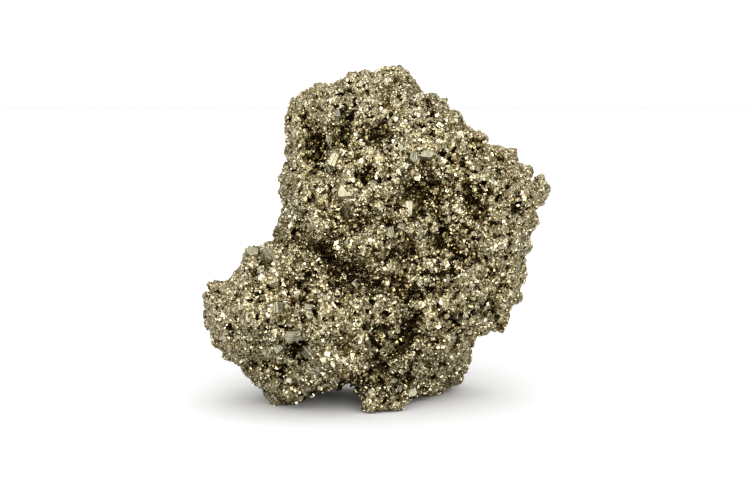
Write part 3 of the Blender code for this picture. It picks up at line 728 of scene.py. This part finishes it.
def lined_material(name, tint_values, grain_values, strength):
    """Pyrite whose faces carry growth lines over their grain."""
    material = pyrite_material(name, tint_values, grain_values)
    tree = material.node_tree
    surface = tree.nodes["Principled BSDF"]
    lines = tree.nodes.new("ShaderNodeGroup")
    lines.node_tree = LINES
    tree.links.new(read_value(tree, "stripe"), lines.inputs["Place"])
    bump = tree.nodes.new("ShaderNodeBump")
    bump.inputs["Distance"].default_value = LINE_HEIGHT
    bump.inputs["Strength"].default_value = strength
    tree.links.new(lines.outputs["Height"], bump.inputs["Height"])
    tree.links.new(surface.inputs["Normal"].links[0].from_socket, bump.inputs["Normal"])
    tree.links.new(bump.outputs["Normal"], surface.inputs["Normal"])
    return material


def add_piece(name, mesh, material):
    """Links a mesh as a piece of the lump."""
    piece = bpy.data.objects.new(name, mesh)
    bpy.context.scene.collection.objects.link(piece)
    mesh.materials.append(material)
    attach(piece, "root")
    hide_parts(NODE)


broad_mesh, broad_taken = broad_crystals()
# The broad crystals take a weaker share of tarnish and painted shade where they see less sky.
set_hollows(broad_mesh, [BROAD_HOLLOW * (1 - openness(vertex.co)) for vertex in broad_mesh.vertices])
lined = lined_material(
    "lined_pyrite",
    {"Clean": (0.42, 0.38, 0.26, 1), "Cool": (0.27, 0.26, 0.20, 1), "Smooth": 0.22, "Rough": 0.38},
    {"Grains": 1500.0, "Tilt": 0.25, "Dome": 0.1, "Crack": 0.01},
    1.0,
)
add_piece("broad_crystals", broad_mesh, lined)

# --- Coarse crystals ---
# Crystals of one to two millimetres, spread all over the lump and rooted in it: cubes, pyrite's own twelve-sided
# form and cubes with their corners off. They stand a little out of the fine coat and carry faint growth lines.
HABIT_SIZES = {"cube": 0.42, "octahedron": 0.62, "cuboctahedron": 0.38, "pyritohedron": 0.36}
ROOF_RISE = 0.5  # how high a roof stands on each face of the cube inside the twelve-sided form
PATCH_WIDTH, PATCH_SWAY = 7.0 * MM, 0.5  # patches of larger or smaller crystals, and how much they count
CREASE_SHADE = 0.4  # how much painted shade browns the crystals in the creases between knobs more than on top of them
PATCH_SHADE = 0.3  # how much painted shade browns them where the lump is most broken by gaps
STRAY_SHARE = 0.14  # how many crystals grow in the gaps all the same
GAP_SHRINK = 0.35  # how much smaller they are at the bottom of a gap
OWN_WIDTHS = (0.7, 1.3)  # the least and the most that each of a crystal's three widths is multiplied by
CRYSTAL_ROOM = 0.42  # how far round a crystal no later ones grow, as a share of its width
CROWD_SEED = 67


def all_ways(numbers):
    """Three numbers as the corner of a crystal, along each axis in turn."""
    return [Vector(numbers[k:] + numbers[:k]) for k in range(3)]


def crystal_form(habit):
    """A crystal about 1 across: its corners, its faces, and how far each face's corners lie across its lines."""
    signs = (-1, 1)
    cube = [Vector((x, y, z)) for x in signs for y in signs for z in signs]
    if habit == "cube":
        corners = cube
    elif habit == "octahedron":
        corners = [corner for a in signs for corner in all_ways((a, 0, 0))]
    elif habit == "cuboctahedron":
        corners = [corner for a in signs for b in signs for corner in all_ways((a, b, 0))]
    else:
        tall, short = 1 + ROOF_RISE, 1 - ROOF_RISE * ROOF_RISE
        corners = cube + [corner for a in signs for b in signs for corner in all_ways((0, a * tall, b * short))]
    bm = bmesh.new()
    for corner in corners:
        bm.verts.new(corner * HABIT_SIZES[habit])
    bmesh.ops.convex_hull(bm, input=bm.verts)
    bmesh.ops.dissolve_limit(bm, angle_limit=math.radians(1), verts=bm.verts, edges=bm.edges)
    bmesh.ops.recalc_face_normals(bm, faces=bm.faces)
    bm.verts.index_update()
    corners = np.array([vertex.co for vertex in bm.verts])
    faces = [[vertex.index for vertex in face.verts] for face in bm.faces]
    across = np.array([place for face in bm.faces for place in across_lines(face)])
    bm.free()
    return corners, faces, across


def random_turns(count, rng):
    """That many rotation matrices, turned every way."""
    quaternions = rng.normal(size=(4, count))
    w, x, y, z = quaternions / np.linalg.norm(quaternions, axis=0)
    rows = [
        [1 - 2 * (y * y + z * z), 2 * (x * y - w * z), 2 * (x * z + w * y)],
        [2 * (x * y + w * z), 1 - 2 * (x * x + z * z), 2 * (y * z - w * x)],
        [2 * (x * z - w * y), 2 * (y * z + w * x), 1 - 2 * (x * x + y * y)],
    ]
    return np.moveaxis(np.array(rows), 2, 0)


def crystal_crowd(name, forms, kinds, centres, turns, sizes, hollows):
    """One mesh of many crystals, none of them below the floor. kinds says which form each one is, sizes holds its
    three widths, and hollows says how much tarnish and painted shade it takes."""
    places, depths, loops, totals, stripes = [], [], [], [], []
    base = 0
    for kind, (corners, faces, across) in enumerate(forms):
        chosen = np.flatnonzero(kinds == kind)
        if not len(chosen):
            continue
        shaped = corners[None] * sizes[chosen][:, None, :]
        placed = np.einsum("nij,nkj->nki", turns[chosen], shaped) + centres[chosen][:, None, :]
        placed[:, :, 2] += np.maximum(0, -placed[:, :, 2].min(axis=1))[:, None]
        starts = base + np.arange(len(chosen)) * len(corners)
        flat = np.concatenate([np.array(face) for face in faces])
        places.append(placed.reshape(-1, 3))
        depths.append(np.repeat(hollows[chosen], len(corners)))
        loops.append((starts[:, None] + flat[None]).ravel())
        totals.append(np.tile([len(face) for face in faces], len(chosen)))
        stripes.append((across[None] * sizes[chosen].mean(axis=1)[:, None]).ravel())
        base += len(chosen) * len(corners)
    places, loops, totals = np.concatenate(places), np.concatenate(loops), np.concatenate(totals)
    mesh = bpy.data.meshes.new(name)
    mesh.vertices.add(len(places))
    mesh.vertices.foreach_set("co", places.astype(np.float32).ravel())
    mesh.loops.add(len(loops))
    mesh.loops.foreach_set("vertex_index", loops.astype(np.int32))
    mesh.polygons.add(len(totals))
    mesh.polygons.foreach_set("loop_start", (np.cumsum(totals) - totals).astype(np.int32))
    mesh.update(calc_edges=True)
    mesh.validate()
    mesh.shade_flat()
    set_hollows(mesh, np.concatenate(depths))
    stripe = mesh.attributes.new("stripe", "FLOAT", "CORNER")
    stripe.data.foreach_set("value", np.concatenate(stripes).astype(np.float32))
    return mesh


def crystal_layer(tries, sizes, skew, packing, habits, sunk, gap_limit, taken, rng):
    """Crystals all over the lump, clear of the places taken: their arrays, and the places that they take. A skew
    above 1 makes small ones commoner, packing is how far apart they stand for their width, sunk is how deep in the
    lump their middles lie for it, and few grow where the gaps are deeper than gap_limit."""
    forms = [crystal_form(habit) for habit in habits]
    points, normals = surface_points(body.data, tries, rng)
    free = clear_of(points, taken)
    points, normals = points[free], normals[free]
    patches = np.array([noise.noise(Vector(point) / PATCH_WIDTH) for point in points])
    gaps = gap_depths(points, HOLE_MARGIN)
    lot = np.clip(rng.random(len(points)) ** skew + PATCH_SWAY * patches, 0, 1)
    widths = sizes[0] + (sizes[1] - sizes[0]) * lot
    widths *= 1 - GAP_SHRINK * gaps
    grown = (gaps < gap_limit * rng.random(len(points)) ** 0.5) | (rng.random(len(points)) < STRAY_SHARE)
    points, normals, widths = points[grown], normals[grown], widths[grown]
    kept = spread(points, widths * packing)
    points, normals, widths = points[kept], normals[kept], widths[kept]
    shares = np.array(list(habits.values()), float)
    # Each crystal's share of tarnish and painted shade: more where it sees less sky, down in the creases between
    # knobs, and where the lump is most broken by gaps.
    hollows = np.array([1 - openness(point) + CREASE_SHADE * crease_share(point) for point in points])
    hollows += PATCH_SHADE * patch_shares(points)
    layer = {
        "forms": forms,
        "kinds": rng.choice(len(forms), len(points), p=shares / shares.sum()),
        "centres": points - normals * (widths * rng.uniform(*sunk, len(points)))[:, None],
        "turns": random_turns(len(points), rng),
        "sizes": widths[:, None] * rng.uniform(*OWN_WIDTHS, (len(points), 3)),
        "hollows": hollows,
    }
    return layer, [(point, width * CRYSTAL_ROOM) for point, width in zip(points.tolist(), widths.tolist())]


def crowd_part(name, layer, chosen):
    """The mesh of some of a layer's crystals."""
    arrays = [layer[key][chosen] for key in ("kinds", "centres", "turns", "sizes", "hollows")]
    return crystal_crowd(name, layer["forms"], *arrays)


rng = np.random.default_rng(CROWD_SEED)
coarse_layer, coarse_taken = crystal_layer(
    tries=16000,
    sizes=(1.1 * MM, 2.0 * MM),
    skew=2.0,
    packing=2.0,
    habits={"cube": 5, "pyritohedron": 3, "cuboctahedron": 2},
    sunk=(0.4, 0.55),
    gap_limit=0.4,
    taken=broad_taken,
    rng=rng,
)
coarse = lined_material(
    "coarse_pyrite",
    {"Smooth": 0.12, "Rough": 0.36},
    {"Grains": 900.0, "Tilt": 0.25, "Dome": 0.05, "Crack": 0.03},
    0.5,
)
add_piece("coarse_crystals", crowd_part("coarse_crystals", coarse_layer, slice(None)), coarse)

# --- Middling crystals ---
# Crystals of about a millimetre, grown side by side between the coarse ones and rooted in the lump like them. Their
# faces are smooth and catch the light, so they carry most of the glint.
middle_layer, middle_taken = crystal_layer(
    tries=40000,
    sizes=(0.8 * MM, 1.4 * MM),
    skew=1.6,
    packing=1.1,
    habits={"cube": 4, "pyritohedron": 2, "cuboctahedron": 3, "octahedron": 1},
    sunk=(0.3, 0.5),
    gap_limit=0.7,
    taken=broad_taken + coarse_taken,
    rng=rng,
)
middle = pyrite_material(
    "middling_pyrite",
    {"Smooth": 0.04, "Rough": 0.28},
    {"Grains": 1100.0, "Tilt": 0.4, "Dome": 0.1, "Crack": 0.08},
)
add_piece("middling_crystals", crowd_part("middling_crystals", middle_layer, slice(None)), middle)

# --- Fine coat ---
# About twenty-five thousand crystals of half a millimetre to a millimetre cover everything else, rooted in the
# lump and turned every way, so that a few always catch the light. They are finer in some patches than in others and
# rarer in the gaps.
fine_layer, _ = crystal_layer(
    tries=90000,
    sizes=(0.45 * MM, 0.85 * MM),
    skew=1.3,
    packing=0.72,
    habits={"cube": 4, "octahedron": 3, "cuboctahedron": 3},
    sunk=(0.12, 0.4),
    gap_limit=0.5,
    taken=broad_taken + coarse_taken + middle_taken,
    rng=rng,
)
fine = pyrite_material(
    "fine_pyrite",
    {"Smooth": 0.04, "Rough": 0.28},
    {"Grains": 1800.0, "Tilt": 0.6, "Dome": 0.15, "Crack": 0.12},
)
sides = (fine_layer["centres"][:, 0] > 0) * 2 + (fine_layer["centres"][:, 1] > 0)
for side, name in enumerate(["front_left", "back_left", "front_right", "back_right"]):
    add_piece("fine_coat_" + name, crowd_part("fine_coat_" + name, fine_layer, sides == side), fine)

# --- Studio ---
# The lump stands on a sheet of pale matt paper, wide enough to show no edge, in the light of soft boxes round and
# above it. The camera looks at its front from a little above the horizon.
FLOOR_SIZE = 1.3
PAPER_COLOUR = (0.66, 0.66, 0.66, 1)
floor_mesh = bpy.data.meshes.new("floor")
half = FLOOR_SIZE / 2
floor_mesh.from_pydata([(-half, -half, 0), (half, -half, 0), (half, half, 0), (-half, half, 0)], [], [(0, 1, 2, 3)])
floor = bpy.data.objects.new("floor", floor_mesh)
bpy.context.scene.collection.objects.link(floor)
paper = bpy.data.materials.new("paper")
paper.use_nodes = True
tree = paper.node_tree
surface = tree.nodes["Principled BSDF"]
surface.inputs["Roughness"].default_value = 1.0
surface.inputs["Specular IOR Level"].default_value = 0.0
surface.inputs["Base Color"].default_value = PAPER_COLOUR
floor_mesh.materials.append(paper)

# Each soft box: its angle round the lump from the camera (right is positive), its angle above the floor, its width
# in metres, and how bright its face is.
SOFT_BOXES = {
    "wide_top": (0, 60, 1.3, 0.77),
    "wide_front": (0, 25, 1.3, 0.80),
    "high_front": (0, 32, 0.3, 0.4),
    "front": (0, 10, 0.4, 2.4),
    "front_left": (-40, 18, 0.35, 1.0),
    "front_right": (40, 18, 0.35, 0.7),
    "right": (95, 20, 0.5, 0.3),
    "low_left": (-22, 4, 0.28, 3.6),
    "low_right": (22, 4, 0.28, 4.6),
    "back_left": (-140, 35, 0.5, 0.8),
    "back_right": (140, 35, 0.5, 0.9),
    "back_top": (180, 60, 0.5, 1.0),
}
BOX_DISTANCE = 0.8
MIDDLE = Vector((0, 0, 0.033))
for name, (round_angle, height_angle, width, brightness) in SOFT_BOXES.items():
    lamp = bpy.data.lights.new(name, "AREA")
    lamp.shape = "SQUARE"
    lamp.size = width
    lamp.energy = brightness * math.pi * width * width
    turn, rise = math.radians(round_angle), math.radians(height_angle)
    way = Vector((math.sin(turn) * math.cos(rise), -math.cos(turn) * math.cos(rise), math.sin(rise)))
    box = bpy.data.objects.new(name, lamp)
    box.location = MIDDLE + way * BOX_DISTANCE
    box.rotation_euler = (-way).to_track_quat("-Z", "Y").to_euler()
    box.visible_camera = False
    bpy.context.scene.collection.objects.link(box)

# The room round the boxes: pale grey as the lump and the floor see it, and white behind them.
ROOM_COLOUR, BACKDROP_COLOUR = (0.8, 0.8, 0.8, 1), (1, 1, 1, 1)
world = bpy.data.worlds.new("studio")
bpy.context.scene.world = world
world.use_nodes = True
tree = world.node_tree
seen = tree.nodes.new("ShaderNodeLightPath").outputs["Is Camera Ray"]
tree.links.new(mixed_colour(tree, seen, ROOM_COLOUR, BACKDROP_COLOUR), tree.nodes["Background"].inputs["Color"])

LENS = 135.0
FRAME_WIDTH = 151.2 * MM  # what the frame takes in at the lump's distance
camera = bpy.data.objects.new("camera", bpy.data.cameras.new("camera"))
bpy.context.scene.collection.objects.link(camera)
camera.data.lens = LENS
camera.data.sensor_width = LENS * FRAME_WIDTH / EYE_DISTANCE
camera.data.clip_start = 0.01
camera.location = EYE
camera.rotation_euler = SIGHT_WAY.to_track_quat("-Z", "Y").to_euler()
bpy.context.scene.camera = camera
bpy.context.scene.view_settings.view_transform = "Standard"
bpy.context.scene.view_settings.look = "Medium High Contrast"
